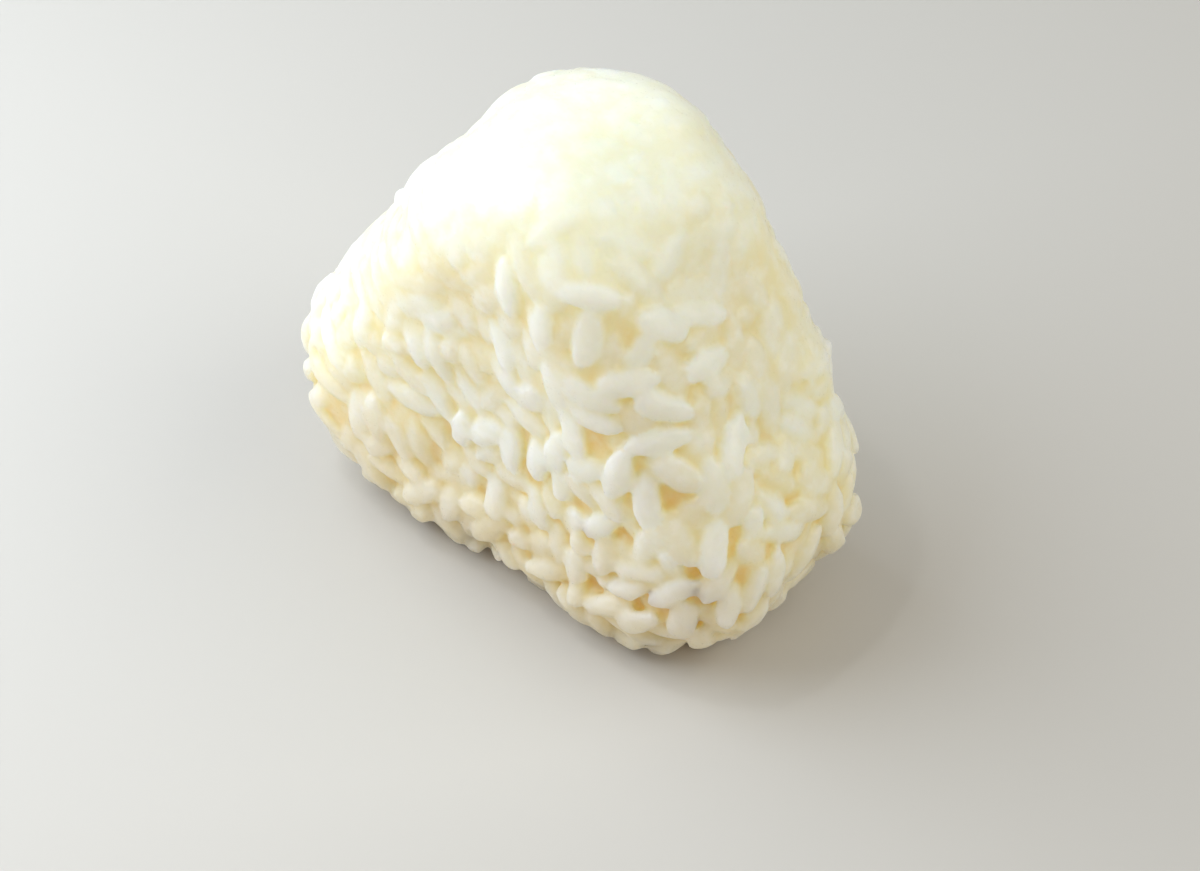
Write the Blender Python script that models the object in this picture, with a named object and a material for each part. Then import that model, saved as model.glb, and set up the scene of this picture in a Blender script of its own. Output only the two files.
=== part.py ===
"""A plain onigiri: cooked short-grain rice pressed by hand into a plump, rounded triangle.

It stands on its base, one corner up. The rice is one heap, so it is one solid: a smooth core, a little
smaller than the ball, with the grains that show fused to it at their true size. The underside is flat
where the rice has settled on what it stands on.

Metres, +Z up. X runs along the base, Y through the thickness, and the origin is the middle of the flat
underside.
"""

import math

import bmesh
import bpy
import numpy as np
from mathutils import Euler, Matrix, Vector, noise

# The ball's outside, measured over the tops of its grains
WIDTH = 0.0760
THICKNESS = 0.0375
CORNER_RADIUS = 0.0207
EDGE_ROUNDING = 0.0118
SETTLED_DEPTH = 0.0020

# One cooked grain
GRAIN_LENGTH = 0.0076
GRAIN_WIDTH = 0.0037
GRAIN_DEPTH = 0.0031
GRAIN_SIDES = 5
GRAIN_RINGS = 3
SHOULDER_STRETCH = 1.25
SHOULDER_GIRTH = 1.18
TIP_REACH = 0.45
SIZE_SPREAD = 0.13

# The grains on the core
GRAIN_COUNT = 296
CANDIDATES_PER_GRAIN = 20
HEADINGS = 12
TIP_SHARE = 0.36
LOWEST_GRAIN = 0.0012
LEAN_DEGREES = 13.0
PROUD_SPREAD = 0.0004
LUMP_HEIGHT = 0.0005
LUMP_LENGTH = 0.0180
SEED = 11

# The core's outline and section
CORE_INSET = 0.0019
ARC_STEPS = 6
ROUNDING_STEPS = 2
WELD_DISTANCE = 0.00001

# The look of the solid
SHARP_DEGREES = 40
RICE_COLOUR = (0.83, 0.80, 0.66, 1.0)
RICE_ROUGHNESS = 0.42


def clear_scene():
    """Removes what a new Blender scene starts with."""
    for obj in list(bpy.data.objects):
        bpy.data.objects.remove(obj, do_unlink=True)


def new_collection(name):
    collection = bpy.data.collections.new(name)
    bpy.context.scene.collection.children.link(collection)
    return collection


def cooked_rice():
    """Moist white rice: a warm, slightly glossy white."""
    material = bpy.data.materials.new("cooked_rice")
    material.use_nodes = True
    shader = material.node_tree.nodes["Principled BSDF"]
    shader.inputs["Base Color"].default_value = RICE_COLOUR
    shader.inputs["Roughness"].default_value = RICE_ROUGHNESS
    shader.inputs["Metallic"].default_value = 0.0
    return material


def corner_centres():
    """The centres of the triangle's three round corners, as (x, z) above the base."""
    side = WIDTH - 2 * CORNER_RADIUS
    rise = side * math.sqrt(3) / 2
    base_z = CORNER_RADIUS - SETTLED_DEPTH
    return [(side / 2, base_z), (0.0, base_z + rise), (-side / 2, base_z)]


def rounded_triangle(radius):
    """The triangle's outline with round corners of this radius, anticlockwise from the right-hand corner."""
    points = []
    for corner, (x, z) in enumerate(corner_centres()):
        first_angle = math.radians(120 * corner - 90)
        for step in range(ARC_STEPS + 1):
            angle = first_angle + math.radians(120) * step / ARC_STEPS
            points.append((x + radius * math.cos(angle), z + radius * math.sin(angle)))
    return points


def make_core():
    """The core: a flat outline with an extrusion and a round bevel, stood up and made a mesh."""
    curve = bpy.data.curves.new("core_outline", "CURVE")
    curve.dimensions = "2D"
    curve.fill_mode = "BOTH"
    curve.extrude = THICKNESS / 2 - EDGE_ROUNDING
    curve.bevel_depth = EDGE_ROUNDING - CORE_INSET
    curve.bevel_resolution = ROUNDING_STEPS
    outline = rounded_triangle(CORNER_RADIUS - EDGE_ROUNDING)
    spline = curve.splines.new("POLY")
    spline.points.add(len(outline) - 1)
    for point, (x, z) in zip(spline.points, outline):
        point.co = (x, z, 0.0, 1.0)
    spline.use_cyclic_u = True
    guide = bpy.data.objects.new("core_guide", curve)
    guide.rotation_euler = (math.radians(90), 0.0, 0.0)
    bpy.context.scene.collection.objects.link(guide)
    bpy.context.view_layer.update()

    evaluated = guide.evaluated_get(bpy.context.evaluated_depsgraph_get())
    mesh = bpy.data.meshes.new_from_object(evaluated)
    mesh.transform(guide.matrix_world)
    bpy.data.objects.remove(guide, do_unlink=True)
    weld(mesh)
    mesh.name = "pressed_rice"
    return mesh


def weld(mesh):
    """Joins the caps to the sides and turns every face outwards."""
    bm = bmesh.new()
    bm.from_mesh(mesh)
    bmesh.ops.remove_doubles(bm, verts=bm.verts, dist=WELD_DISTANCE)
    bmesh.ops.recalc_face_normals(bm, faces=bm.faces)
    bm.to_mesh(mesh)
    bm.free()


def points_on(mesh, count, draw):
    """Random points spread evenly by area over a mesh, with the normals there."""
    mesh.calc_loop_triangles()
    triangles = [[mesh.vertices[v].co.copy() for v in t.vertices] for t in mesh.loop_triangles]
    normals = [t.normal.copy() for t in mesh.loop_triangles]
    areas = np.array([t.area for t in mesh.loop_triangles])
    chosen = draw.choice(len(areas), size=count, p=areas / areas.sum())
    found = []
    for index in chosen:
        a, b, c = triangles[index]
        u, v = draw.random(2).tolist()
        if u + v > 1:
            u, v = 1 - u, 1 - v
        found.append((a + u * (b - a) + v * (c - a), normals[index]))
    return found


def spread_evenly(candidates, count):
    """Takes the candidate that lies farthest from all those taken, again and again."""
    places = np.array([place for place, _ in candidates])
    nearest = np.full(len(places), np.inf)
    taken = [0]
    while len(taken) < count:
        nearest = np.minimum(nearest, np.linalg.norm(places - places[taken[-1]], axis=1))
        taken.append(int(np.argmax(nearest)))
    return [candidates[index] for index in taken]


def grain_mesh():
    """One cooked grain of unit size, lying along X: two rings for its shoulders and a point at each end."""
    bm = bmesh.new()
    bmesh.ops.create_uvsphere(bm, u_segments=GRAIN_SIDES, v_segments=GRAIN_RINGS, radius=0.5)
    bmesh.ops.rotate(bm, verts=bm.verts, cent=(0, 0, 0), matrix=Matrix.Rotation(math.radians(90), 3, "Y"))
    for vertex in bm.verts:
        if abs(vertex.co.x) < TIP_REACH:
            vertex.co.x *= SHOULDER_STRETCH
            vertex.co.y *= SHOULDER_GIRTH
            vertex.co.z *= SHOULDER_GIRTH
    mesh = bpy.data.meshes.new("grain")
    bm.to_mesh(mesh)
    bm.free()
    return mesh


def grain_place(place, normal, heading, draw_values):
    """Where one grain lies: along the surface, leaning a little, some prouder and some larger than others."""
    lean_x, lean_y, proud, size, slimness = draw_values
    lump = noise.noise(place / LUMP_LENGTH) * LUMP_HEIGHT
    to_surface = normal.to_track_quat("Z", "X").to_matrix().to_4x4()
    turn = Euler((lean_x, lean_y, heading)).to_matrix().to_4x4()
    scale = Matrix.Diagonal((GRAIN_LENGTH * size, GRAIN_WIDTH * slimness, GRAIN_DEPTH * slimness, 1.0))
    return Matrix.Translation(place + normal * (lump + proud)) @ to_surface @ turn @ scale


def chance_values(draw):
    """One grain's lean both ways, how proud it stands, and how long and how slim it is."""
    lean = math.radians(LEAN_DEGREES)
    lowest = [-lean, -lean, -PROUD_SPREAD, 1 - SIZE_SPREAD, 1 - SIZE_SPREAD / 2]
    highest = [lean, lean, PROUD_SPREAD, 1 + SIZE_SPREAD, 1 + SIZE_SPREAD / 2]
    return draw.uniform(lowest, highest).tolist()


def axis_points(matrix):
    """A grain's middle and the two points near its tips."""
    return np.array([matrix @ Vector((share, 0, 0)) for share in (-TIP_SHARE, 0, TIP_SHARE)])


def clearest_place(place, normal, others, draw):
    """Turns a grain to the heading that keeps it farthest from the grains already laid."""
    values = chance_values(draw)
    first_heading = float(draw.uniform(0, math.pi))
    best = None
    for step in range(HEADINGS):
        matrix = grain_place(place, normal, first_heading + math.pi * step / HEADINGS, values)
        points = axis_points(matrix)
        gap = np.linalg.norm(others[None, :, :] - points[:, None, :], axis=2).min()
        if best is None or gap > best[0]:
            best = (gap, matrix, points)
    return best[1], best[2]


def scatter_grains(core, collection):
    """Lays the grains over the core, each in the widest gap left."""
    draw = np.random.default_rng(SEED)
    candidates = points_on(core, GRAIN_COUNT * CANDIDATES_PER_GRAIN, draw)
    seated = [(place, normal) for place, normal in candidates if place.z > LOWEST_GRAIN]
    mesh = grain_mesh()
    far_away = [0.0, 0.0, -WIDTH]
    laid = np.array([far_away])
    for number, (place, normal) in enumerate(spread_evenly(seated, GRAIN_COUNT)):
        matrix, points = clearest_place(place, normal, laid, draw)
        laid = np.vstack([laid, points])
        grain = bpy.data.objects.new(f"grain_{number:03d}", mesh)
        grain.matrix_world = matrix
        collection.objects.link(grain)


def settle_cutter(collection):
    """A block below the underside, which takes off what would reach under it."""
    bm = bmesh.new()
    bmesh.ops.create_cube(bm, size=1.0)
    block = (2 * WIDTH, 2 * WIDTH, WIDTH)
    bmesh.ops.scale(bm, verts=bm.verts, vec=block)
    bmesh.ops.translate(bm, verts=bm.verts, vec=(0, 0, -WIDTH / 2))
    mesh = bpy.data.meshes.new("settle_cutter")
    bm.to_mesh(mesh)
    bm.free()
    cutter = bpy.data.objects.new("settle_cutter", mesh)
    cutter.hide_render = True
    cutter.display_type = "WIRE"
    collection.objects.link(cutter)
    return cutter


def apply_modifiers(obj):
    """Makes the evaluated shape the object's own mesh."""
    bpy.context.view_layer.update()
    evaluated = obj.evaluated_get(bpy.context.evaluated_depsgraph_get())
    mesh = bpy.data.meshes.new_from_object(evaluated)
    obj.modifiers.clear()
    obj.data = mesh


def islands(bm):
    """The mesh's separate shells, as lists of faces."""
    left = set(bm.faces)
    found = []
    while left:
        start = left.pop()
        shell, edge_of_search = [start], [start]
        while edge_of_search:
            face = edge_of_search.pop()
            for edge in face.edges:
                for other in edge.link_faces:
                    if other in left:
                        left.remove(other)
                        shell.append(other)
                        edge_of_search.append(other)
        found.append(shell)
    return found


def keep_outer_shell(mesh):
    """Fills the hollows that fusing has sealed, and drops loose scraps: only the largest shell stays."""
    bm = bmesh.new()
    bm.from_mesh(mesh)
    shells = sorted(islands(bm), key=len, reverse=True)
    for shell in shells[1:]:
        bmesh.ops.delete(bm, geom=shell, context="FACES")
    loose = [vertex for vertex in bm.verts if not vertex.link_faces]
    bmesh.ops.delete(bm, geom=loose, context="VERTS")
    bmesh.ops.triangulate(bm, faces=bm.faces)
    bm.to_mesh(mesh)
    bm.free()


def main():
    clear_scene()
    onigiri = new_collection("onigiri")
    grains = new_collection("grains")
    cutters = new_collection("cutters")

    core = make_core()
    rice = bpy.data.objects.new("pressed_rice", core)
    onigiri.objects.link(rice)
    scatter_grains(core, grains)

    fuse = rice.modifiers.new("fuse_grains", "BOOLEAN")
    fuse.operation = "UNION"
    fuse.operand_type = "COLLECTION"
    fuse.collection = grains
    fuse.solver = "MANIFOLD"
    settle = rice.modifiers.new("settle", "BOOLEAN")
    settle.operation = "DIFFERENCE"
    settle.object = settle_cutter(cutters)
    settle.solver = "MANIFOLD"
    apply_modifiers(rice)

    for grain in list(grains.objects):
        bpy.data.objects.remove(grain, do_unlink=True)
    bpy.data.collections.remove(grains)
    keep_outer_shell(rice.data)
    rice.data.materials.clear()
    rice.data.materials.append(cooked_rice())
    rice.data.shade_smooth()
    rice.data.set_sharp_from_angle(angle=math.radians(SHARP_DEGREES))


main()
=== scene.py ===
# %% [markdown]
# # A plain onigiri
#
# An onigiri is a handful of warm short-grain rice, pressed between wet hands into a plump triangle and stood
# on its base. Nothing is carved here: the form is the rice itself. So this lesson packs over a thousand
# grains into the pressed form, lets them push each other apart as real ones do, and squeezes each one where
# it meets a neighbour. Then it melts them into one sticky skin that light can pass through.

# %% Load the frame
import math

import bmesh
import bpy
import numpy as np
from mathutils import Matrix, Vector
from mathutils.kdtree import KDTree


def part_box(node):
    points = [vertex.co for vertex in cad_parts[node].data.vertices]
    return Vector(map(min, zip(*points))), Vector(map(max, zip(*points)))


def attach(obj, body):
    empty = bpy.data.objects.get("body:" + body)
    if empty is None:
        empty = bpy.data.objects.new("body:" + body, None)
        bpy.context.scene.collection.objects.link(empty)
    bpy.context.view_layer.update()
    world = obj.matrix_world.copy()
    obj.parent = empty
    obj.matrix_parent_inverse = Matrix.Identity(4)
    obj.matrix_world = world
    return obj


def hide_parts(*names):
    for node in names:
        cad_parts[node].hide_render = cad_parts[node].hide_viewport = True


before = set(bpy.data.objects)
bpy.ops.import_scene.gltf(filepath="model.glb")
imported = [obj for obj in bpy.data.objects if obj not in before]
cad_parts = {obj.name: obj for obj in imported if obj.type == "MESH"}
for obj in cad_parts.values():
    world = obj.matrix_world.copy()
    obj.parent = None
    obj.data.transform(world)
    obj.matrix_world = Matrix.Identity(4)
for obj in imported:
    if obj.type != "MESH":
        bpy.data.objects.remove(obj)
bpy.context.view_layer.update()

NODE = "pressed_rice"
MM = 0.001
low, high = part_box(NODE)
print("the frame's rice, in mm:", [round((b - a) / MM, 1) for a, b in zip(low, high)])

# %% [markdown]
# ## The pressed form
#
# Hands make a rounded triangle with soft edges. It could be a sculpted mesh, but a distance is handier here:
# a function that says how far any point is outside the form, and below zero inside it. Grains can then be
# kept in, pushed out or coloured by depth with one call. The form is a flat triangle through the centres of
# the three round corners, grown by the outline's radius and rounded over the edge.

# %% The form's sizes, from the frame
GRAIN_TOPS = 0.5 * MM
WIDTH = high.x - low.x - 2 * GRAIN_TOPS
THICKNESS = high.y - low.y - 2 * GRAIN_TOPS
CORNER_RADIUS = 20.7 * MM
EDGE_ROUNDING = 11.8 * MM
SETTLED_DEPTH = 2.0 * MM

FLAT_RADIUS = CORNER_RADIUS - EDGE_ROUNDING
FLAT_HALF = THICKNESS / 2 - EDGE_ROUNDING
SIDE = WIDTH - 2 * CORNER_RADIUS
BASE_HEIGHT = CORNER_RADIUS - SETTLED_DEPTH
TOP_HEIGHT = BASE_HEIGHT + SIDE * math.sqrt(3) / 2
CORNERS = np.array([(SIDE / 2, BASE_HEIGHT), (0.0, TOP_HEIGHT), (-SIDE / 2, BASE_HEIGHT)])
HEIGHT = TOP_HEIGHT + CORNER_RADIUS
print(f"the form: {WIDTH / MM:.1f} x {THICKNESS / MM:.1f} x {HEIGHT / MM:.1f} mm")


# %% The form as a distance
LUMP_HEIGHT = 0.5 * MM
LUMP_LENGTHS = (31 * MM, 23 * MM, 27 * MM)
LUMP_TWIST = 1.7
BULGES = [  # place, reach and height in mm
    ((21, 13, 44), 14, 1.2),
    ((-31, -16, 15), 12, 1.0),
    ((33, 14, 26), 8, -1.0),
]


def lumps(points):
    """The unevenness that fingers leave: crossed waves of a few centimetres, two swellings and a dent."""
    x, y, z = (2 * math.pi * points[:, i] / LUMP_LENGTHS[i] for i in range(3))
    height = LUMP_HEIGHT * np.sin(x + LUMP_TWIST * np.sin(z)) * np.cos(y + z)
    for place, reach, rise in BULGES:
        away = np.linalg.norm(points - np.array(place) * MM, axis=1) / (reach * MM)
        height += rise * MM * np.exp(-away**2)
    return height


def mould(points):
    """How far each point is outside the pressed form, in metres, and below zero inside it."""
    flat = points[:, [0, 2]]
    to_side = np.full(len(flat), np.inf)
    past_side = np.full(len(flat), -np.inf)
    for start, end in zip(CORNERS, np.roll(CORNERS, -1, axis=0)):
        along = end - start
        outward = np.array([along[1], -along[0]]) / np.linalg.norm(along)
        share = np.clip((flat - start) @ along / (along @ along), 0, 1)
        to_side = np.minimum(to_side, np.linalg.norm(flat - start - share[:, None] * along, axis=1))
        past_side = np.maximum(past_side, (flat - start) @ outward)
    across = np.where(past_side > 0, to_side, past_side) - FLAT_RADIUS
    through = np.abs(points[:, 1]) - FLAT_HALF
    outside = np.hypot(np.maximum(across, 0), np.maximum(through, 0))
    inside = np.minimum(np.maximum(across, through), 0)
    return outside + inside - EDGE_ROUNDING - lumps(points)


def unit(vectors):
    return vectors / np.maximum(np.linalg.norm(vectors, axis=-1, keepdims=True), 1e-12)


def mould_normals(points):
    """The way out of the form at each point."""
    step = 0.1 * MM
    slopes = [mould(points + step * way) - mould(points - step * way) for way in np.eye(3)]
    return unit(np.stack(slopes, axis=1))


middle_depth = -mould(np.array([[0.0, 0.0, HEIGHT / 2]]))[0]
print(f"the form's middle is {middle_depth / MM:.1f} mm from its surface")


# %% [markdown]
# ## The camera's place
#
# The camera comes before the grains, because some grains are laid where the photograph shows them. It looks
# down from the front and the right with a long lens, as one photographs food from a chair. Its place is
# worked out from how far it is turned, how high it is, and where the ball's middle lies in the picture.

# %% Where the camera stands
PHOTO_WIDTH = 1200
PHOTO_HEIGHT = 871
BALL_MIDDLE_PIXEL = (581, 341)
PIXELS_PER_METRE = 7780
AZIMUTH = math.radians(40)
ELEVATION = math.radians(46.5)
LENS = 135
SENSOR = 36
MIDDLE_SHARE = 0.475
BALL_MIDDLE = Vector((0, 0, MIDDLE_SHARE * (HEIGHT + SETTLED_DEPTH) - SETTLED_DEPTH))
SIGHT_STEPS = 60

to_right = Vector((math.cos(AZIMUTH), math.sin(AZIMUTH), 0))
to_camera = Vector(
    (math.sin(AZIMUTH) * math.cos(ELEVATION), -math.cos(AZIMUTH) * math.cos(ELEVATION), math.sin(ELEVATION))
)
to_top = to_camera.cross(to_right)


def from_picture_middle(pixel):
    """A pixel's place in the plane through the ball's middle, in metres from the picture's middle."""
    right = (pixel[0] - PHOTO_WIDTH / 2) / PIXELS_PER_METRE
    up = (PHOTO_HEIGHT / 2 - pixel[1]) / PIXELS_PER_METRE
    return to_right * right + to_top * up


aim = BALL_MIDDLE - from_picture_middle(BALL_MIDDLE_PIXEL)
camera_distance = LENS / SENSOR * PHOTO_WIDTH / PIXELS_PER_METRE
camera_place = aim + to_camera * camera_distance
print(f"the camera stands {camera_distance:.3f} m from the ball")


def point_on_form(pixel, depth):
    """Follows the sight line through a pixel until it is this deep in the form."""
    way = (aim + from_picture_middle(pixel) - camera_place).normalized()
    place = np.array([camera_place])
    for _ in range(SIGHT_STEPS):
        place = place + np.array(way) * (mould(place)[0] + depth)
    return place[0]


# %% [markdown]
# ## Throwing the grains in
#
# Only the outer layers show, so only those are made: two to three grains deep, under the form's surface.
# A particle system could scatter them, but it would let them lie through each other and it doesn't export.
# The grains that catch the eye in the photograph are laid first, one by one. Every other start is the point
# farthest from all those taken, which spreads the grains as evenly as a real heap. Pressed grains lie along
# the surface, and a few point out of it.

# %% The grains that stand out, one by one
SHOWN_DEPTH = 1.2 * MM
SHOWN_GRAINS = [  # middle in the photograph's pixels, degrees from upright clockwise, length in mm
    (587, 337, 9, 8.0), (543, 319, 8, 7.0), (586, 296, 98, 7.4), (512, 284, 4, 7.6),
    (507, 341, -2, 7.8), (697, 313, 103, 8.2), (660, 326, 112, 7.6), (640, 358, 25, 6.0),
    (628, 378, 70, 7.6), (590, 389, 114, 8.2), (532, 393, 80, 6.0), (559, 449, 4, 7.6),
    (577, 427, -4, 7.8), (600, 418, 110, 6.6), (664, 408, 118, 8.2), (660, 440, 76, 8.4),
    (618, 473, 18, 8.0), (648, 499, -8, 8.6), (588, 468, 60, 6.2), (541, 453, 0, 7.2),
    (491, 428, 68, 7.0), (515, 446, 8, 7.8), (500, 492, 2, 7.8), (543, 505, -12, 7.4),
    (608, 519, 50, 7.6), (581, 564, 6, 7.0), (632, 585, 80, 7.0), (671, 588, 66, 8.6),
    (712, 548, 2, 8.0), (710, 484, 3, 8.0), (729, 445, 5, 8.0), (729, 602, 8, 7.4),
    (642, 617, 60, 8.0), (668, 640, 78, 7.8), (441, 313, 96, 6.8), (465, 425, 10, 7.4),
    (426, 490, 82, 7.4), (452, 500, 30, 7.0), (702, 365, 60, 7.8), (664, 258, 30, 7.8),
]
shown_count = len(SHOWN_GRAINS)
print(f"{shown_count} grains are laid by hand")

# %% How many grains, and what sizes
GRAIN_COUNT = 1060
SHELL_DEPTH = 7.0 * MM
GRAIN_LENGTH = 8.1 * MM
GRAIN_WIDTH = 3.9 * MM
GRAIN_DEPTH = 3.4 * MM
KINDS = ("whole", "pointed", "curled", "broken")
KIND_SHARES = (0.40, 0.34, 0.13, 0.13)
KIND_LENGTHS = np.array([1.0, 1.04, 1.0, 0.62])
SIZE_SPREAD = 0.07
LENGTH_LIMITS = (0.82, 1.15)
GIRTH_LIMITS = (0.82, 1.16)
draw = np.random.default_rng(20)

kinds = draw.choice(len(KINDS), size=GRAIN_COUNT, p=KIND_SHARES)
kinds[:shown_count] = np.arange(shown_count) % 2
own_lengths = draw.normal(1.0, SIZE_SPREAD, GRAIN_COUNT).clip(*LENGTH_LIMITS)
lengths = GRAIN_LENGTH * KIND_LENGTHS[kinds] * own_lengths
lengths[:shown_count] = [grain[3] * MM for grain in SHOWN_GRAINS]
widths = GRAIN_WIDTH * draw.normal(1.0, SIZE_SPREAD, GRAIN_COUNT).clip(*GIRTH_LIMITS)
depths = GRAIN_DEPTH * draw.normal(1.0, SIZE_SPREAD, GRAIN_COUNT).clip(*GIRTH_LIMITS)
print({name: int((kinds == number).sum()) for number, name in enumerate(KINDS)})

# %% Where they start
CANDIDATES = 16000
THROWS_PER_CANDIDATE = 6
BOX_MARGIN = 1 * MM
EDGE_MARGIN = 1.3 * MM
LEAN_OUT = 0.45
HANG_DOWN = 0.55
MOST_TILT = 1.2
LEAST_FACING = 0.3


def spread_out(points, count, taken):
    """Takes the point that lies farthest from all those taken, again and again."""
    nearest = np.min([((points - place) ** 2).sum(axis=1) for place in taken], axis=0)
    places = list(taken)
    while len(places) < count:
        places.append(points[nearest.argmax()])
        nearest = np.minimum(nearest, ((points - places[-1]) ** 2).sum(axis=1))
    return np.array(places)


box_low = np.array(low) - BOX_MARGIN
box_high = np.array(high) + BOX_MARGIN
cloud = draw.uniform(box_low, box_high, (CANDIDATES * THROWS_PER_CANDIDATE, 3))
cloud_depth = -mould(cloud)
in_shell = (cloud_depth > EDGE_MARGIN) & (cloud_depth < SHELL_DEPTH - EDGE_MARGIN)
in_shell &= cloud[:, 2] > EDGE_MARGIN
shown_places = [point_on_form((x, y), SHOWN_DEPTH) for x, y, _, _ in SHOWN_GRAINS]
centres = spread_out(cloud[in_shell][:CANDIDATES], GRAIN_COUNT, shown_places)

out = mould_normals(centres)
axes = draw.normal(0, 1, (GRAIN_COUNT, 3))
axes -= out * (axes * out).sum(axis=1, keepdims=True) * (1 - LEAN_OUT)
in_view = np.clip(np.maximum(-centres[:, 1:2] / (THICKNESS / 2), centres[:, :1] / (WIDTH / 2)), 0, 1)
axes[:, 2:3] += np.sign(axes[:, 2:3]) * HANG_DOWN * in_view
for number, (_, _, degrees, _) in enumerate(SHOWN_GRAINS):
    angle = math.radians(degrees)
    in_picture = np.array(to_right * math.sin(angle) + to_top * math.cos(angle))
    tilt = -(in_picture @ out[number]) / max(np.array(to_camera) @ out[number], LEAST_FACING)
    axes[number] = in_picture + np.array(to_camera) * np.clip(tilt, -MOST_TILT, MOST_TILT)
axes = unit(axes)
print(f"{in_shell.sum()} places in the shell, {GRAIN_COUNT} grains taken")

# %% [markdown]
# ## Pressing them together
#
# Rigid-body physics would take minutes for a thousand grains. A chain of three beads in each grain is
# enough: beads that overlap push each other apart, beads past the form's surface are pushed back in, and the
# grain moves and turns as its beads do. Where the hands pressed less, grains may stand a little proud of the
# form: low on the front, where the photograph shows them, and on the sides that face away from the camera,
# because their grain ends show in the outline.

# %% Beads, and where the rice is loose
BEAD_PLACES = np.array([-1.0, 0.0, 1.0])
BEAD_SIZES = np.array([0.84, 1.0, 0.84])
BEAD_INSET = 0.9
mean_radii = (widths + depths) / 4
half_lengths = lengths / 2 - BEAD_INSET * mean_radii
bead_radii = (mean_radii[:, None] * BEAD_SIZES).ravel()
owners = np.repeat(np.arange(GRAIN_COUNT), 3)
MOST_TURNED_AWAY = 0.3
LOOSE_EVERYWHERE = -0.25
LOOSE_IN_FRONT = 0.25
LOOSE_ON_THE_RIGHT = 0.3
LOOSE_FACING_AWAY = 0.8


def looseness(points):
    """0 where the hands pressed the rice smooth, up to 1 low on the front and on the sides that face away."""
    front_share = np.clip(-points[:, 1] / (THICKNESS / 2), -1, 1)
    low_share = 1 - np.clip(points[:, 2] / HEIGHT, 0, 1)
    right_share = np.clip(points[:, 0] / (WIDTH / 2), -1, 1)
    facing = mould_normals(points) @ np.array(to_camera)
    away_share = np.clip(1 - facing / MOST_TURNED_AWAY, 0, 1)
    loose = LOOSE_EVERYWHERE + LOOSE_IN_FRONT * front_share + low_share
    loose = loose + LOOSE_ON_THE_RIGHT * right_share + LOOSE_FACING_AWAY * away_share
    return np.clip(loose, 0, 1)


print(f"{(looseness(centres) > 0.5).mean():.0%} of the grains start where the rice is loose")


# %% How proud each grain may stand
PROUD = 1.5 * MM
SHOWN_PROUD = 0.9 * MM
CLUMP_HEIGHT = 0.6 * MM
CLUMP_SIZE = 17 * MM
CLUMP_SEED = 3
FEW_PROUD = 1.2
WAVE_COUNT = 14
WAVE_RATES = (0.8, 1.4)


def waves(points, length, seed):
    """A smooth, uneven number for each point, about -1 to 1: waves of that length from all sides, summed."""
    wave_draw = np.random.default_rng(seed)
    ways = unit(wave_draw.normal(0, 1, (WAVE_COUNT, 3)))
    ways = ways * wave_draw.uniform(*WAVE_RATES, (WAVE_COUNT, 1))
    starts = wave_draw.uniform(0, 2 * math.pi, WAVE_COUNT)
    return np.cos(points @ ways.T * 2 * math.pi / length + starts).sum(axis=1) / math.sqrt(WAVE_COUNT)


own_share = draw.random(GRAIN_COUNT) ** FEW_PROUD
clumps = CLUMP_HEIGHT * waves(centres, CLUMP_SIZE, CLUMP_SEED)
slack = looseness(centres) * (PROUD * own_share + clumps)
slack[:shown_count] = SHOWN_PROUD
slack = np.clip(slack, -SHOWN_PROUD, SHOWN_PROUD)
print(f"grains stand {slack.min() / MM:.1f} to {slack.max() / MM:.1f} mm proud of the form")


# %% Let them settle
SETTLE_STEPS = 70
STEPS_PER_SEARCH = 8
SEARCH_REACH = 2.4 * GRAIN_WIDTH / 2
CLOSENESS = 0.96
PUSH_SHARE = 1.1
HOLD_SHARE = 0.12
freedom = np.ones((GRAIN_COUNT, 1))
freedom[:shown_count] = HOLD_SHARE


def close_pairs(points, reach):
    """Pairs of beads of two grains that lie within reach of each other."""
    squares = (points**2).sum(axis=1)
    gaps = squares[:, None] + squares[None, :] - 2 * points @ points.T
    first, second = np.nonzero(np.triu(gaps < reach**2, 1))
    apart = owners[first] != owners[second]
    return first[apart], second[apart]


for step in range(SETTLE_STEPS):
    offsets = half_lengths[:, None] * BEAD_PLACES
    beads = (centres[:, None] + axes[:, None] * offsets[:, :, None]).reshape(-1, 3)
    if step % STEPS_PER_SEARCH == 0:
        first, second = close_pairs(beads, SEARCH_REACH)
    between = beads[first] - beads[second]
    apart = np.linalg.norm(between, axis=1) + 1e-9
    overlap = np.maximum((bead_radii[first] + bead_radii[second]) * CLOSENESS - apart, 0)
    push = between * (overlap / apart / 2)[:, None]
    moves = np.zeros_like(beads)
    for way in range(3):
        moves[:, way] += np.bincount(first, push[:, way], len(beads))
        moves[:, way] -= np.bincount(second, push[:, way], len(beads))
    level = mould(beads)
    normal = mould_normals(beads)
    too_far_out = np.maximum(level + bead_radii - slack[owners], 0)
    too_far_in = np.maximum(-level + bead_radii - SHELL_DEPTH, 0)
    moves += normal * (too_far_in - too_far_out)[:, None]
    moves[:, 2] += np.maximum(bead_radii - beads[:, 2], 0)
    moves = moves.reshape(-1, 3, 3)
    centres += PUSH_SHARE * freedom * moves.mean(axis=1)
    leverage = (offsets**2).sum(axis=1)[:, None]
    axes = unit(axes + freedom * (moves * offsets[:, :, None]).sum(axis=1) / leverage)
print(f"{len(first)} bead pairs, mean overlap {overlap[overlap > 0].mean() / MM:.2f} mm")

# %% [markdown]
# ## One cooked grain
#
# A cooked grain is a plump rod about twice as long as wide, with a blunt end, a more pointed end and often a
# bend. A sphere with eight sides and six rings has enough faces for that, because a thousand copies share
# the picture, and melting will round it. Four kinds are shaped from it: whole, pointed, curled and broken.
# They are drawn a tenth too thick and too long, so that neighbours run into each other and stick.

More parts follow.
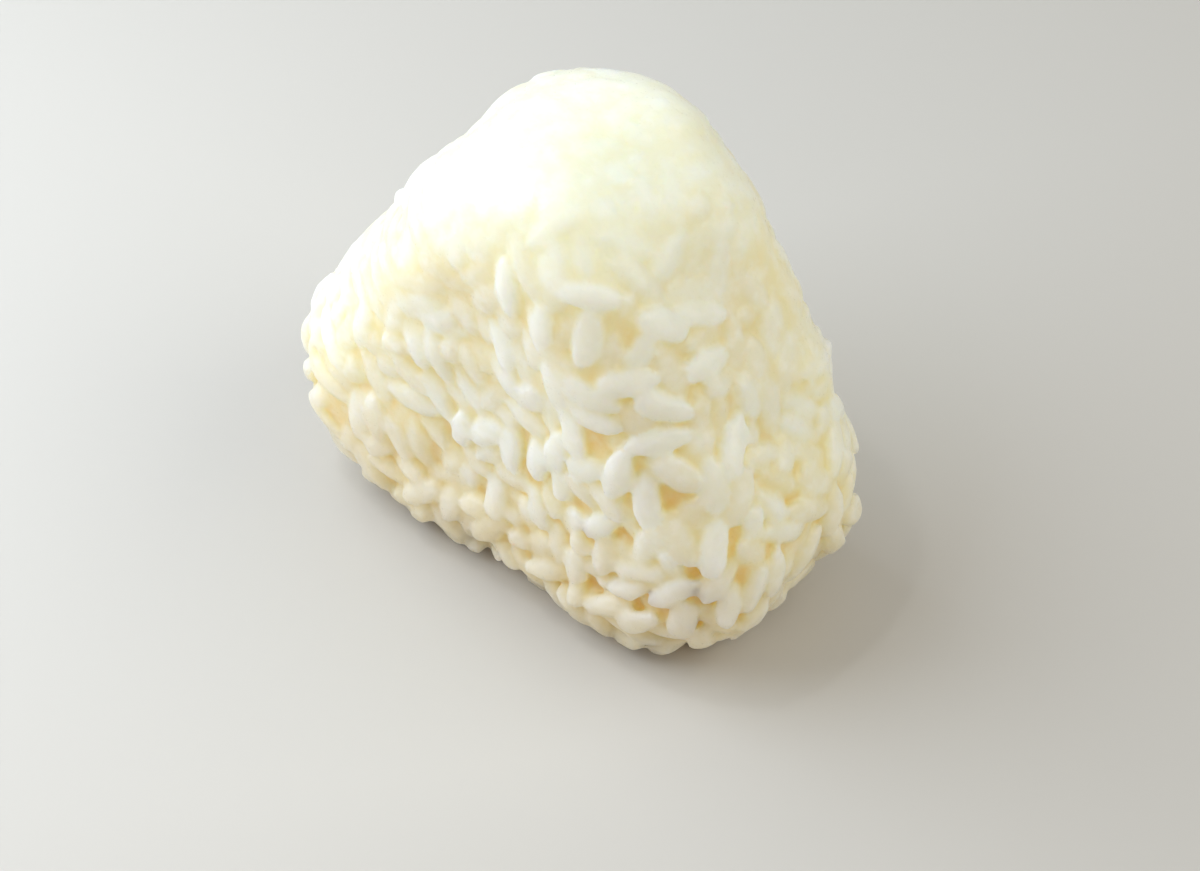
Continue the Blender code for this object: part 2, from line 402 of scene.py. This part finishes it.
# %% Shape the four kinds
GRAIN_SIDES = 8
GRAIN_RINGS = 6
FULLNESS = {"whole": 0.85, "pointed": 1.12, "curled": 0.85, "broken": 0.6}
POINT = {"whole": 0.12, "pointed": 0.26, "curled": 0.16, "broken": 0.12}
BEND = {"whole": 0.10, "pointed": 0.05, "curled": 0.42, "broken": 0.05}
BEND_MIDDLE = 0.12
OVERSIZE = 1.11


def shape_grain(kind):
    """One grain of unit size along X, from a sphere: filled out, pointed at one end and bent."""
    bm = bmesh.new()
    bmesh.ops.create_uvsphere(bm, u_segments=GRAIN_SIDES, v_segments=GRAIN_RINGS, radius=0.5)
    bmesh.ops.rotate(bm, verts=bm.verts, cent=(0, 0, 0), matrix=Matrix.Rotation(math.radians(90), 3, "Y"))
    for vertex in bm.verts:
        x, y, z = vertex.co
        round_girth = math.hypot(y, z) * 2
        girth = round_girth ** FULLNESS[kind] / round_girth if round_girth > 0.01 else 1.0
        girth *= OVERSIZE * (1 - POINT[kind] * (x + 0.5))
        vertex.co = (x * OVERSIZE, y * girth, z * girth + BEND[kind] * (BEND_MIDDLE - x * x))
    points = np.array([vertex.co for vertex in bm.verts])
    faces = [[vertex.index for vertex in face.verts] for face in bm.faces]
    bm.free()
    return points, faces


templates = np.array([shape_grain(kind)[0] for kind in KINDS])
grain_faces = shape_grain(KINDS[0])[1]
print(f"a grain has {templates.shape[1]} points and {len(grain_faces)} faces")

# %% [markdown]
# ## Squeezing the grains
#
# Soft grains don't stay round: each has a flat or a dent where a neighbour lies. A small random shift of
# every point takes the sameness out of the four kinds first. A Boolean for each of several thousand contacts
# would be slow and would leave hard edges, so the points do it. A point that lies inside a neighbour moves
# half of the way out of it, and the neighbour's points do the other half, so the two meet in the middle.

# %% Put every grain's points in place
ROLL_DEGREES = 40
out = mould_normals(centres)
deep = unit(out - axes * (out * axes).sum(axis=1, keepdims=True))
wide = np.cross(deep, axes)
roll = np.radians(draw.uniform(-ROLL_DEGREES, ROLL_DEGREES, (GRAIN_COUNT, 1)))
deep, wide = deep * np.cos(roll) + wide * np.sin(roll), wide * np.cos(roll) - deep * np.sin(roll)

shapes = templates[kinds] * np.stack([lengths, widths, depths], axis=1)[:, None]
turns = np.stack([axes, wide, deep], axis=1)
WOBBLE = 0.2 * MM
grains = centres[:, None] + shapes @ turns + draw.normal(0, WOBBLE, shapes.shape)

# %% Flatten them against each other
SQUEEZE = 0.5
MOST_SQUEEZE = 0.7 * MM
TOUCH_REACH = 2.1 * GRAIN_WIDTH / 2
END_TAPER = 0.16
first, second = close_pairs(beads, TOUCH_REACH)
touching = np.unique(np.stack([owners[first], owners[second]], axis=1), axis=0)
touching = np.concatenate([touching, touching[:, ::-1]])
mine, theirs = touching.T

from_centre = grains[mine] - centres[theirs][:, None]
along = (from_centre * axes[theirs][:, None]).sum(axis=2)
along = np.clip(along, -half_lengths[theirs][:, None], half_lengths[theirs][:, None])
away = from_centre - axes[theirs][:, None] * along[:, :, None]
gap = np.linalg.norm(away, axis=2) + 1e-9
end_share = np.abs(along) / half_lengths[theirs][:, None]
bite = np.maximum(mean_radii[theirs][:, None] * (1 - END_TAPER * end_share**2) - gap, 0)
pushes = away * (SQUEEZE * bite / gap)[:, :, None]
squeezed = np.zeros_like(grains)
np.add.at(squeezed, mine, pushes)
size = np.linalg.norm(squeezed, axis=2, keepdims=True) + 1e-9
grains += squeezed * np.minimum(1, MOST_SQUEEZE / size)
print(f"{len(touching) // 2} contacts, deepest dent {min(size.max(), MOST_SQUEEZE) / MM:.2f} mm")

# %% Press the outside smooth
OVER_THE_BOX = 0.4 * MM
PRESS_SHARE = 0.85
flat_points = grains.reshape(-1, 3)
limit = np.repeat(slack, grains.shape[1])
proud = mould(flat_points) - limit
flat_points -= mould_normals(flat_points) * (np.maximum(proud, 0) * PRESS_SHARE)[:, None]
flat_points[:] = np.clip(flat_points, np.array(low) - OVER_THE_BOX, np.array(high) + OVER_THE_BOX)
flat_points[:, 2] = np.maximum(flat_points[:, 2], 0.0)
grains = flat_points.reshape(grains.shape)
print("the grains' box, in mm:", (flat_points.max(axis=0) - flat_points.min(axis=0)).round(4) / MM)


# %% [markdown]
# ## From arrays to a mesh
#
# The grains become one joined mesh: the same faces again and again, over their own points. Copies of an
# object would do for a picture, but a joined mesh is made in a moment and can be melted in the next step.
# Under them lies a filling, because the inside of the ball never shows: it starts close under the surface
# where hands pressed the grains together, and deeper where gaps are open. Loose grains are also drawn a
# little thinner, so that more of each one's edge stays free.

# %% Fill the inside
PRESSED_FILL_DEPTH = 0.8 * MM
LOOSE_FILL_DEPTH = 2.6 * MM
FILL_STEPS = 40
FILL_STRIDE = 0.8
FILL_LIFT = 1.5 * MM


def fill_depth(points):
    return PRESSED_FILL_DEPTH + (LOOSE_FILL_DEPTH - PRESSED_FILL_DEPTH) * looseness(points)


def filled_inside():
    """A ball of points laid under the form's surface, at the depth from which the rice is solid."""
    bm = bmesh.new()
    bmesh.ops.create_icosphere(bm, subdivisions=5, radius=WIDTH)
    middle = np.array([0.0, 0.0, (BASE_HEIGHT * 2 + TOP_HEIGHT) / 3])
    ways = unit(np.array([vertex.co for vertex in bm.verts]))
    reach = np.full(len(ways), 0.0)
    for _ in range(FILL_STEPS):
        places = middle + ways * reach[:, None]
        reach += FILL_STRIDE * (-fill_depth(places) - mould(places))
    places = middle + ways * reach[:, None]
    places[:, 2] = np.maximum(places[:, 2], FILL_LIFT)
    faces = [[vertex.index for vertex in face.verts] for face in bm.faces]
    bm.free()
    return places, faces


inside_points, inside_faces = filled_inside()
print(f"the filling has {len(inside_points)} points")

# %% Join the grains and the filling
PRESSED_GIRTH = 1.0
LOOSE_GIRTH = 0.96
girths = PRESSED_GIRTH + (LOOSE_GIRTH - PRESSED_GIRTH) * looseness(centres)
melting = centres[:, None] + (grains - centres[:, None]) * girths[:, None, None]
grain_points = templates.shape[1]
faces = inside_faces + [
    [corner + len(inside_points) + number * grain_points for corner in face]
    for number in range(GRAIN_COUNT)
    for face in grain_faces
]
mesh = bpy.data.meshes.new("pressed_grains")
mesh.from_pydata(np.concatenate([inside_points, melting.reshape(-1, 3)]).tolist(), [], faces)
rice = bpy.data.objects.new("pressed_grains", mesh)
bpy.context.scene.collection.objects.link(rice)
print(f"{len(faces)} faces before melting")

# %% [markdown]
# ## Melting the grains together
#
# Starch glues cooked grains into one mass, and light travels from grain to grain through it. Grains that
# only lie in each other would stop that light at every face inside, and show grey seams. So a voxel remesh
# melts them into a single skin with soft fillets, and a little smoothing takes the voxels' steps off.

# %% Melt and smooth
VOXEL = 0.35 * MM
SKIN_SMOOTHING = 2
LAST_SMOOTHING = 1


def apply_modifiers(obj):
    """Makes the evaluated shape the object's own mesh."""
    bpy.context.view_layer.update()
    evaluated = obj.evaluated_get(bpy.context.evaluated_depsgraph_get())
    mesh = bpy.data.meshes.new_from_object(evaluated)
    obj.modifiers.clear()
    obj.data = mesh


def melt_skin(obj, smoothing):
    """Turns whatever overlaps into one skin, and smooths it."""
    melt = obj.modifiers.new("melt", "REMESH")
    melt.mode = "VOXEL"
    melt.voxel_size = VOXEL
    ease = obj.modifiers.new("ease", "SMOOTH")
    ease.iterations = smoothing
    ease.factor = 0.5
    apply_modifiers(obj)


def read_points(mesh):
    points = np.zeros(len(mesh.vertices) * 3)
    mesh.vertices.foreach_get("co", points)
    return points.reshape(-1, 3)


melt_skin(rice, SKIN_SMOOTHING)
print(f"{len(rice.data.polygons)} faces in the skin")

# %% [markdown]
# ## Filling the gaps
#
# Pressing also squeezes starch into the gaps, so a pressed face is nearly flat and its grains show more by
# colour than by shadow. Each point's depth under the form is scaled down: a lot where the hands pressed, less
# low on the front, and unevenly, because starch fills some patches more than others. Only the lowest grains
# keep their full relief. Then the skin is melted once more, so that it can't run through itself.

# %% Make the relief shallow
PRESSED_RELIEF = 0.38
LOOSE_RELIEF = 0.72
PATCHY_RELIEF = 0.15
PATCH_LENGTH = 15 * MM
PATCH_SEED = 5
RELIEF_LIMITS = (0.25, 0.9)
DEEPEST_GAP = 4 * MM
FULL_RELIEF_HEIGHT = 2 * MM
FADING_HEIGHT = 8 * MM


def relief_at(points):
    """The share of their depth that gaps keep."""
    relief = PRESSED_RELIEF + (LOOSE_RELIEF - PRESSED_RELIEF) * looseness(points)
    relief = relief + PATCHY_RELIEF * waves(points, PATCH_LENGTH, PATCH_SEED)
    relief = relief.clip(*RELIEF_LIMITS)
    return 1 - (1 - relief) * np.clip((points[:, 2] - FULL_RELIEF_HEIGHT) / FADING_HEIGHT, 0, 1)


skin = read_points(rice.data)
rise = np.clip(-mould(skin), -GRAIN_TOPS * 2, DEEPEST_GAP) * (1 - relief_at(skin))
rice.data.vertices.foreach_set("co", (skin + mould_normals(skin) * rise[:, None]).ravel())
rice.data.update()
melt_skin(rice, LAST_SMOOTHING)
print(f"gaps filled by up to {rise.max() / MM:.1f} mm")

# %% [markdown]
# ## Cleaning and thinning the skin
#
# Melting closes some holes off inside the ball. Their shells never show, so only the faces that can be
# reached from the top are kept. Decimate then spends the triangles where the skin bends most.

# %% Clean and thin out
MOST_TRIANGLES = 195000


def outer_faces(bm):
    """The faces that can be reached from the highest one."""
    start = max(bm.faces, key=lambda face: face.verts[0].co.z)
    reached = {start}
    edge_of_search = [start]
    while edge_of_search:
        for edge in edge_of_search.pop().edges:
            for other in edge.link_faces:
                if other not in reached:
                    reached.add(other)
                    edge_of_search.append(other)
    return reached


def drop_hidden_shells(mesh):
    bm = bmesh.new()
    bm.from_mesh(mesh)
    kept = outer_faces(bm)
    hidden = [face for face in bm.faces if face not in kept]
    bmesh.ops.delete(bm, geom=hidden, context="FACES")
    loose = [vertex for vertex in bm.verts if not vertex.link_faces]
    bmesh.ops.delete(bm, geom=loose, context="VERTS")
    for vertex in bm.verts:
        vertex.co.z = max(vertex.co.z, 0.0)
    bm.to_mesh(mesh)
    bm.free()
    return len(hidden)


print(f"{drop_hidden_shells(rice.data)} faces dropped inside, {len(rice.data.polygons)} kept")
thin_out = rice.modifiers.new("thin_out", "DECIMATE")
thin_out.ratio = min(1.0, MOST_TRIANGLES / (2 * len(rice.data.polygons)))
apply_modifiers(rice)
rice.data.shade_smooth()
print(f"{len(rice.data.polygons)} faces after thinning")

# %% [markdown]
# ## Whose skin is it?
#
# The colour needs two numbers at each point: how deep it lay before the gaps were filled, and a tone that is
# its grain's own. Melting loses which grain a point came from, so each point of the skin goes back to where
# it was and asks for the nearest grain, with a KD-tree of points along all the grains.

# %% Depth and tone for the material
DEEPEST = 5.0 * MM
SHOWN_TONE = 0.78
MOST_TONE = 0.8
TREE_PLACES = (-0.7, -0.35, 0.0, 0.35, 0.7)

tones = MOST_TONE * draw.random(GRAIN_COUNT)
tones[:shown_count] = SHOWN_TONE
tree = KDTree(GRAIN_COUNT * len(TREE_PLACES))
for number, share in [(number, share) for number in range(GRAIN_COUNT) for share in TREE_PLACES]:
    tree.insert(centres[number] + axes[number] * half_lengths[number] * share, number)
tree.balance()

skin = read_points(rice.data)
depth = -mould(skin) / relief_at(skin)
origins = skin - mould_normals(skin) * (depth + mould(skin))[:, None]
nearest = np.array([tree.find(place)[1] for place in origins.tolist()])


def add_numbers(mesh, name, values):
    layer = mesh.attributes.new(name, "FLOAT", "POINT")
    layer.data.foreach_set("value", np.asarray(values, dtype=np.float32))


# The depth sets the painted cream and yellow shade in the gaps.
add_numbers(rice.data, "depth", np.clip(depth / DEEPEST, 0, 1))
add_numbers(rice.data, "tone", tones[nearest])
print(f"{len(np.unique(nearest))} grains show, up to {depth.max() / MM:.1f} mm deep")

# %% [markdown]
# ## The finish
#
# Cooked rice is starch gel: white, moist and lit from inside, so most of its light is scattered under the
# surface. Light that has been through more rice comes out yellower, and the colour paints that in as shade:
# it goes from white at the surface to a painted cream and yellow shade in the gaps, and each grain has its
# own tone. Cloudy spots inside the grains are whiter. Low down, a darker, warmer cream is painted shade and
# warm bounce light, and the top is painted whiter as painted light. The gloss is a thin film of water,
# broken up by the grains' own skin.

# %% Colours and nodes
def colour(hex_value):
    """An sRGB hex value as linear red, green, blue and alpha."""
    channels = [int(hex_value[i:i + 2], 16) / 255 for i in (1, 3, 5)]
    return [c / 12.92 if c <= 0.04045 else ((c + 0.055) / 1.055) ** 2.4 for c in channels] + [1.0]


def add_node(tree, kind, settings=None, links=None):
    """Adds a node. A setting is an input's value or else a property; a link is an input's source."""
    node = tree.nodes.new(kind)
    for name, value in (settings or {}).items():
        if isinstance(name, int) or name in node.inputs:
            node.inputs[name].default_value = value
        else:
            setattr(node, name, value)
    for name, source in (links or {}).items():
        tree.links.new(source, node.inputs[name])
    return node


def new_material(name):
    """An empty material and its shader."""
    material = bpy.data.materials.new(name)
    material.use_nodes = True
    return material, material.node_tree, material.node_tree.nodes["Principled BSDF"]


print("mid grey in linear light:", [round(channel, 3) for channel in colour("#808080")])


# %% The rice's colours and sizes
DIM_GEL = colour("#ebe5c8")
BRIGHT_GEL = colour("#f0f3e8")
# Painted shade: cream, then yellow, laid over the grains by how deep the skin lies in the gaps.
PAINTED_GAP_CREAM = colour("#efe5b6")
PAINTED_CREAM_DEPTHS = (0.5 * MM, 2.2 * MM)
PAINTED_GAP_SHADE = colour("#f0cc6c")
PAINTED_SHADE_DEPTHS = (1.4 * MM, 3.0 * MM)
PATCH_SIZE = 9.0 * MM
PATCH_SHARE = 0.22

CLOUD_WHITE = colour("#f8f9f0")
CLOUD_SIZE = 2.2 * MM
CLOUD_LIMITS = {"From Min": 0.45, "From Max": 0.8, "To Max": 0.5}
# Painted shade and warm bounce light: a darker, warmer cream towards the bottom.
LOW_PAINTED_SHADE = colour("#e4cea0")
LOW_PAINTED_SHADE_LIMITS = {"From Min": 26.0 * MM, "From Max": 0.0, "To Max": 0.8}
# Painted light: the top is mixed towards a cooler white.
TOP_PAINTED_LIGHT = colour("#eff6e8")
TOP_PAINTED_LIGHT_LIMITS = {"From Min": 53.0 * MM, "From Max": HEIGHT, "To Max": 0.6}

SKIN_SIZE = 0.35 * MM
SKIN_DEPTH = 0.05 * MM
SKIN_STRENGTH = 0.3
DENT_SIZE = 1.5 * MM
DENT_DEPTH = 0.14 * MM
ROUGHNESS_LIMITS = {"To Min": 0.18, "To Max": 0.46}
GEL_IOR = 1.38
GLOW_REACH = 12.0 * MM
GLOW_COLOUR = (1.0, 0.9, 0.7)
print(f"light travels up to {GLOW_REACH / MM:.0f} mm in the rice")


# %% What the finish repeats
def noise(tree, place, size, detail):
    """An uneven number with blots of this size."""
    settings = {"Scale": 1 / size, "Detail": detail}
    return add_node(tree, "ShaderNodeTexNoise", settings, {"Vector": place}).outputs[0]


def stretch(tree, value, limits):
    """A number stretched from one range to another, and held within it."""
    return add_node(tree, "ShaderNodeMapRange", limits, {"Value": value}).outputs[0]


def by_depth(tree, deep, depths):
    """0 where the rice is less than the first depth under the form, and 1 beyond the second."""
    return stretch(tree, deep, {"From Min": depths[0] / DEEPEST, "From Max": depths[1] / DEEPEST})


def tint(tree, share, under, over):
    """Lays a colour over another by a share."""
    node = add_node(tree, "ShaderNodeMix", {"data_type": "RGBA", 7: over}, {0: share, 6: under})
    return node.outputs[2]


# %% Cooked short-grain rice, steamed
def cooked_rice():
    """Starch gel under a film of water: cool white outside, with a painted cream and yellow shade in the
    gaps.
    """
    material, tree, shader = new_material("cooked_rice_starch_gel")
    place = add_node(tree, "ShaderNodeTexCoord").outputs["Object"]
    height = add_node(tree, "ShaderNodeSeparateXYZ", {}, {"Vector": place}).outputs["Z"]
    deep = add_node(tree, "ShaderNodeAttribute", {"attribute_name": "depth"}).outputs["Fac"]
    tone = add_node(tree, "ShaderNodeAttribute", {"attribute_name": "tone"}).outputs["Fac"]
    skin = noise(tree, place, SKIN_SIZE, 3.0)

    patch = noise(tree, place, PATCH_SIZE, 1.0)
    patchy_settings = {"operation": "MULTIPLY_ADD", 1: PATCH_SHARE}
    patchy_depth = add_node(tree, "ShaderNodeMath", patchy_settings, {0: patch, 2: deep}).outputs[0]
    gel_settings = {"data_type": "RGBA", 6: DIM_GEL, 7: BRIGHT_GEL}
    rice_colour = add_node(tree, "ShaderNodeMix", gel_settings, {0: tone}).outputs[2]
    # Over each grain's own tone: painted shade in the gaps, the grains' own cloudy spots, painted shade low
    # down and painted light at the top.
    for share, over in [
        (by_depth(tree, patchy_depth, PAINTED_CREAM_DEPTHS), PAINTED_GAP_CREAM),
        (by_depth(tree, deep, PAINTED_SHADE_DEPTHS), PAINTED_GAP_SHADE),
        (stretch(tree, noise(tree, place, CLOUD_SIZE, 2.0), CLOUD_LIMITS), CLOUD_WHITE),
        (stretch(tree, height, LOW_PAINTED_SHADE_LIMITS), LOW_PAINTED_SHADE),
        (stretch(tree, height, TOP_PAINTED_LIGHT_LIMITS), TOP_PAINTED_LIGHT),
    ]:
        rice_colour = tint(tree, share, rice_colour, over)

    dents = noise(tree, place, DENT_SIZE, 1.0)
    dent_settings = {"Strength": 1.0, "Distance": DENT_DEPTH}
    dented = add_node(tree, "ShaderNodeBump", dent_settings, {"Height": dents}).outputs[0]
    skin_settings = {"Strength": SKIN_STRENGTH, "Distance": SKIN_DEPTH}
    bump = add_node(tree, "ShaderNodeBump", skin_settings, {"Height": skin, "Normal": dented}).outputs[0]
    tree.links.new(rice_colour, shader.inputs["Base Color"])
    tree.links.new(stretch(tree, skin, ROUGHNESS_LIMITS), shader.inputs["Roughness"])
    tree.links.new(bump, shader.inputs["Normal"])
    shader.inputs["IOR"].default_value = GEL_IOR
    shader.inputs["Subsurface Weight"].default_value = 1.0
    shader.inputs["Subsurface Radius"].default_value = GLOW_COLOUR
    shader.inputs["Subsurface Scale"].default_value = GLOW_REACH
    return material


rice.data.materials.append(cooked_rice())
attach(rice, "root")
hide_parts(NODE)
print(f"{len(rice.data.materials[0].node_tree.nodes)} nodes in the rice's material")

# %% [markdown]
# ## The stage
#
# A plain pale floor and soft light. The real ball stood by a window: a large near lamp high on the left makes
# the left slope nearly white and falls off quickly, and a wide weak one and the room's own light fill the
# right side, so that the grains keep soft shadows. A weak warm lamp low in front gives the lower grains
# their warmth, and a small one puts glints on the wet grains.

# %% Floor
FLOOR_SIZE = 4.0
CARD_GREY = "#c9c7c2"
CARD_ROUGHNESS = 0.75
bm = bmesh.new()
bmesh.ops.create_grid(bm, x_segments=1, y_segments=1, size=FLOOR_SIZE / 2)
floor_mesh = bpy.data.meshes.new("pale_floor")
bm.to_mesh(floor_mesh)
bm.free()
floor = bpy.data.objects.new("pale_floor", floor_mesh)
bpy.context.scene.collection.objects.link(floor)
card, _, card_shader = new_material("matt_white_card")
card_shader.inputs["Base Color"].default_value = colour(CARD_GREY)
card_shader.inputs["Roughness"].default_value = CARD_ROUGHNESS
floor_mesh.materials.append(card)
print(f"the floor is {FLOOR_SIZE:.0f} m wide")

# %% The camera
camera_data = bpy.data.cameras.new("camera")
camera_data.lens = LENS
camera_data.sensor_width = SENSOR
camera = bpy.data.objects.new("camera", camera_data)
camera.location = camera_place
camera.rotation_euler = to_camera.to_track_quat("Z", "Y").to_euler()
bpy.context.scene.collection.objects.link(camera)
bpy.context.scene.camera = camera
print("the camera's place, in m:", [round(number, 3) for number in camera_place])


# %% The lights
LAMPS = [  # name, way to it (right, up, towards the camera), metres away, size, watts and colour
    ("window_light", (-1.08, 0.76, 0.5), 0.26, 0.3, 0.99, "#ecf5ff"),
    ("right_fill", (0.95, 0.4, 0.65), 0.9, 0.8, 3.9, "#fffef6"),
    ("warm_bounce", (-0.45, -0.5, 0.85), 0.4, 0.2, 0.1, "#ffb060"),
    ("sparkle", (-0.35, 0.75, 0.8), 0.5, 0.03, 0.15, "#ffffff"),
]
ROOM_COLOUR = "#fbf8f2"
ROOM_STRENGTH = 0.37


def add_lamp(name, way, far, size, power, lamp_colour):
    """A square soft lamp that looks at the ball."""
    lamp = bpy.data.lights.new(name, "AREA")
    lamp.shape = "SQUARE"
    lamp.size = size
    lamp.energy = power
    lamp.color = colour(lamp_colour)[:3]
    holder = bpy.data.objects.new(name, lamp)
    direction = (to_right * way[0] + to_top * way[1] + to_camera * way[2]).normalized()
    holder.location = BALL_MIDDLE + direction * far
    holder.rotation_euler = direction.to_track_quat("Z", "Y").to_euler()
    bpy.context.scene.collection.objects.link(holder)


for lamp_values in LAMPS:
    add_lamp(*lamp_values)

world = bpy.data.worlds.new("room_light")
bpy.context.scene.world = world
world.use_nodes = True
background = world.node_tree.nodes["Background"]
background.inputs["Color"].default_value = colour(ROOM_COLOUR)
background.inputs["Strength"].default_value = ROOM_STRENGTH
bpy.context.scene.view_settings.view_transform = "Standard"
print(f"{len(LAMPS)} lamps and the room's own light")
